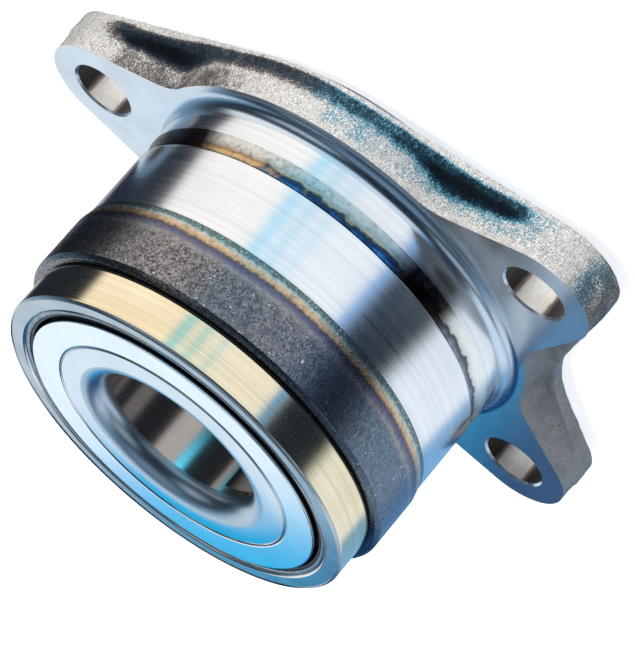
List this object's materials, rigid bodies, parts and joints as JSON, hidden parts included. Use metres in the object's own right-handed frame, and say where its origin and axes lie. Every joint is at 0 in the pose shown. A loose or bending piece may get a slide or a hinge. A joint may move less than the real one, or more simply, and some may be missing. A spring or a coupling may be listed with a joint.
{
  "type": "wheel hub bearing",
  "caption": "Flanged wheel hub bearing: turned outer ring with a lugged bolt flange, paired inner rings with a through bore, caged ball rows and sealed ends.",
  "frame": {"origin": "on the bearing axis, in the rear face of the flange, which is the foot of the rear spigot", "axes": "+Z along the bearing axis towards the nose; X parallel to the line through the upper pair of bolt holes, +Y towards that pair"},
  "size_m": [0.105, 0.0838, 0.0518],
  "materials": {
    "forged_ring": "turned and ground lands, heat-tinted hardened band, rough forged flange sides",
    "ground_ring": "fine ground bearing steel",
    "spring_steel": "plain spring steel",
    "cage_polymer": "moulded glass-filled polyamide",
    "ball_steel": "polished",
    "slinger_steel": "satin stainless sheet",
    "case_steel": "dull steel sheet",
    "seal_rubber": "matte nitrile rubber"
  },
  "bodies": {
    "outer_ring": {"outer_ring": "forged_ring", "front_seal_case": "case_steel", "front_seal_rubber": "seal_rubber", "rear_seal_case": "case_steel", "rear_seal_rubber": "seal_rubber"},
    "inner_rings": {"front_inner_ring": "ground_ring", "rear_inner_ring": "ground_ring", "inner_ring_clip": "spring_steel", "front_slinger": "slinger_steel", "rear_slinger": "slinger_steel"},
    "front_ball_row": {"front_cage": "cage_polymer", "front_ball_01": "ball_steel", "front_ball_02": "ball_steel", "front_ball_03": "ball_steel", "front_ball_04": "ball_steel", "front_ball_05": "ball_steel", "front_ball_06": "ball_steel", "front_ball_07": "ball_steel", "front_ball_08": "ball_steel", "front_ball_09": "ball_steel", "front_ball_10": "ball_steel", "front_ball_11": "ball_steel", "front_ball_12": "ball_steel", "front_ball_13": "ball_steel"},
    "rear_ball_row": {"rear_cage": "cage_polymer", "rear_ball_01": "ball_steel", "rear_ball_02": "ball_steel", "rear_ball_03": "ball_steel", "rear_ball_04": "ball_steel", "rear_ball_05": "ball_steel", "rear_ball_06": "ball_steel", "rear_ball_07": "ball_steel", "rear_ball_08": "ball_steel", "rear_ball_09": "ball_steel", "rear_ball_10": "ball_steel", "rear_ball_11": "ball_steel", "rear_ball_12": "ball_steel", "rear_ball_13": "ball_steel"}
  },
  "joints": [
    {"name": "inner_rings_turn", "type": "hinge", "parent": "outer_ring", "child": "inner_rings", "pos_m": [0, 0, 0.023], "axis": [0, 0, 1], "continuous": true},
    {"name": "front_ball_row_turn", "type": "hinge", "parent": "outer_ring", "child": "front_ball_row", "pos_m": [0, 0, 0.0335], "axis": [0, 0, 1], "continuous": true},
    {"name": "rear_ball_row_turn", "type": "hinge", "parent": "outer_ring", "child": "rear_ball_row", "pos_m": [0, 0, 0.0125], "axis": [0, 0, 1], "continuous": true}
  ],
  "couplings": [
    {"joint": "front_ball_row_turn", "follows": "inner_rings_turn", "ratio": 0.417},
    {"joint": "rear_ball_row_turn", "follows": "inner_rings_turn", "ratio": 0.417}
  ]
}
